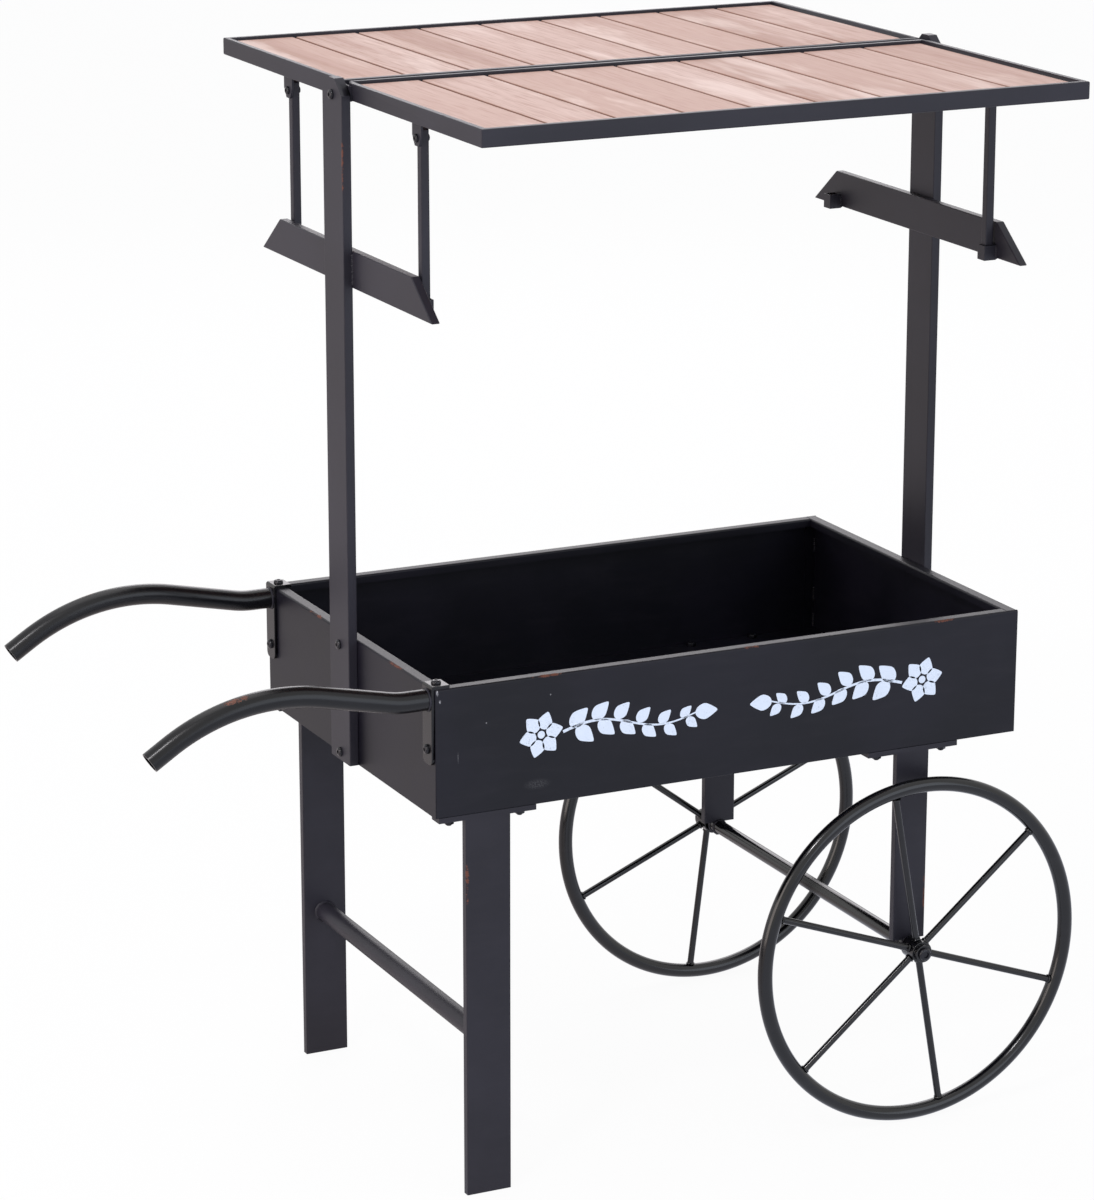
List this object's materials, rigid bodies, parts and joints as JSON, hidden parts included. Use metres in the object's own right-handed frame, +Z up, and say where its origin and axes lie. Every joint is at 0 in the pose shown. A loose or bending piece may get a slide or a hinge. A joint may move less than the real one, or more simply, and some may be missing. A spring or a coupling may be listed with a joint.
{
  "type": "flower cart stand",
  "caption": "Flower cart stand: sheet tray on legs and spoked wheels, pull handles at one end, posts carrying a hinged two-panel slatted top held level by swing-down props.",
  "frame": {"origin": "on the floor under the middle of the outline", "axes": "+X from the pull handles towards the wheels, +Y from the front wall to the back wall, +Z up"},
  "size_m": [0.9322, 0.586, 1.0055],
  "materials": {
    "tray_metal": "satin charcoal paint on sheet steel, worn to reddish brown along the rims",
    "frame_metal": "satin charcoal paint on steel bar and tube, reddish brown rub marks on edges",
    "wheel_metal": "satin charcoal paint on round bar, slightly glossier",
    "handle_metal": "satin charcoal paint, rubbed to reddish brown on top of the grip",
    "fastener_steel": "dark blackened steel",
    "slat_wood": "pale pinkish brown board, fine straight grain, matt"
  },
  "bodies": {
    "base": {"tray_floor": "tray_metal", "tray_front_wall": "tray_metal", "tray_back_wall": "tray_metal", "tray_left_end": "tray_metal", "tray_right_end": "tray_metal", "leg_front_left": "frame_metal", "leg_back_left": "frame_metal", "leg_front_right": "frame_metal", "leg_back_right": "frame_metal", "leg_stretcher": "frame_metal", "wheel_axle": "wheel_metal", "wheel_bolts": "fastener_steel", "post_left": "frame_metal", "post_right": "frame_metal", "cross_arm_left": "frame_metal", "cross_arm_right": "frame_metal", "prop_cups": "frame_metal", "handle_front": "handle_metal", "handle_strap_front": "handle_metal", "handle_back": "handle_metal", "handle_strap_back": "handle_metal", "post_bolts": "fastener_steel", "leg_bolts": "fastener_steel", "handle_bolts": "fastener_steel", "hinge_bolts": "fastener_steel"},
    "roof_front": {"roof_frame_front": "frame_metal", "slat_front_1": "slat_wood", "slat_front_2": "slat_wood", "slat_front_3": "slat_wood", "slat_front_4": "slat_wood", "slat_front_5": "slat_wood", "slat_front_6": "slat_wood", "slat_front_7": "slat_wood", "slat_front_8": "slat_wood", "slat_front_9": "slat_wood", "prop_pins_front": "fastener_steel"},
    "roof_back": {"roof_frame_back": "frame_metal", "slat_back_1": "slat_wood", "slat_back_2": "slat_wood", "slat_back_3": "slat_wood", "slat_back_4": "slat_wood", "slat_back_5": "slat_wood", "slat_back_6": "slat_wood", "slat_back_7": "slat_wood", "slat_back_8": "slat_wood", "slat_back_9": "slat_wood", "prop_pins_back": "fastener_steel"},
    "prop_front_left": {"prop_front_left": "frame_metal"},
    "prop_front_right": {"prop_front_right": "frame_metal"},
    "prop_back_left": {"prop_back_left": "frame_metal"},
    "prop_back_right": {"prop_back_right": "frame_metal"},
    "wheel_front": {"wheel_rim_front": "wheel_metal", "wheel_spokes_front": "wheel_metal", "wheel_hub_front": "wheel_metal"},
    "wheel_back": {"wheel_rim_back": "wheel_metal", "wheel_spokes_back": "wheel_metal", "wheel_hub_back": "wheel_metal"}
  },
  "joints": [
    {"name": "wheel_front_spin", "type": "hinge", "parent": "base", "child": "wheel_front", "pos_m": [0.2951, -0.213, 0.171], "axis": [0, 1, 0], "continuous": true},
    {"name": "wheel_back_spin", "type": "hinge", "parent": "base", "child": "wheel_back", "pos_m": [0.2951, 0.213, 0.171], "axis": [0, 1, 0], "continuous": true},
    {"name": "roof_front_lift", "type": "hinge", "parent": "base", "child": "roof_front", "pos_m": [0.1051, 0, 0.9905], "axis": [-1, 0, 0], "range_deg": [0, 12]},
    {"name": "roof_back_lift", "type": "hinge", "parent": "base", "child": "roof_back", "pos_m": [0.1051, 0, 0.9905], "axis": [1, 0, 0], "range_deg": [0, 12]},
    {"name": "prop_front_left_swing", "type": "hinge", "parent": "roof_front", "child": "prop_front_left", "pos_m": [-0.1811, -0.146, 0.972], "axis": [-1, 0, 0], "range_deg": [-12, 0]},
    {"name": "prop_front_right_swing", "type": "hinge", "parent": "roof_front", "child": "prop_front_right", "pos_m": [0.3913, -0.146, 0.972], "axis": [-1, 0, 0], "range_deg": [-12, 0]},
    {"name": "prop_back_left_swing", "type": "hinge", "parent": "roof_back", "child": "prop_back_left", "pos_m": [-0.1811, 0.146, 0.972], "axis": [1, 0, 0], "range_deg": [-12, 0]},
    {"name": "prop_back_right_swing", "type": "hinge", "parent": "roof_back", "child": "prop_back_right", "pos_m": [0.3913, 0.146, 0.972], "axis": [1, 0, 0], "range_deg": [-3.5, 82]}
  ],
  "couplings": [
    {"joint": "prop_front_left_swing", "follows": "roof_front_lift", "ratio": -1},
    {"joint": "prop_front_right_swing", "follows": "roof_front_lift", "ratio": -1},
    {"joint": "prop_back_left_swing", "follows": "roof_back_lift", "ratio": -1}
  ]
}
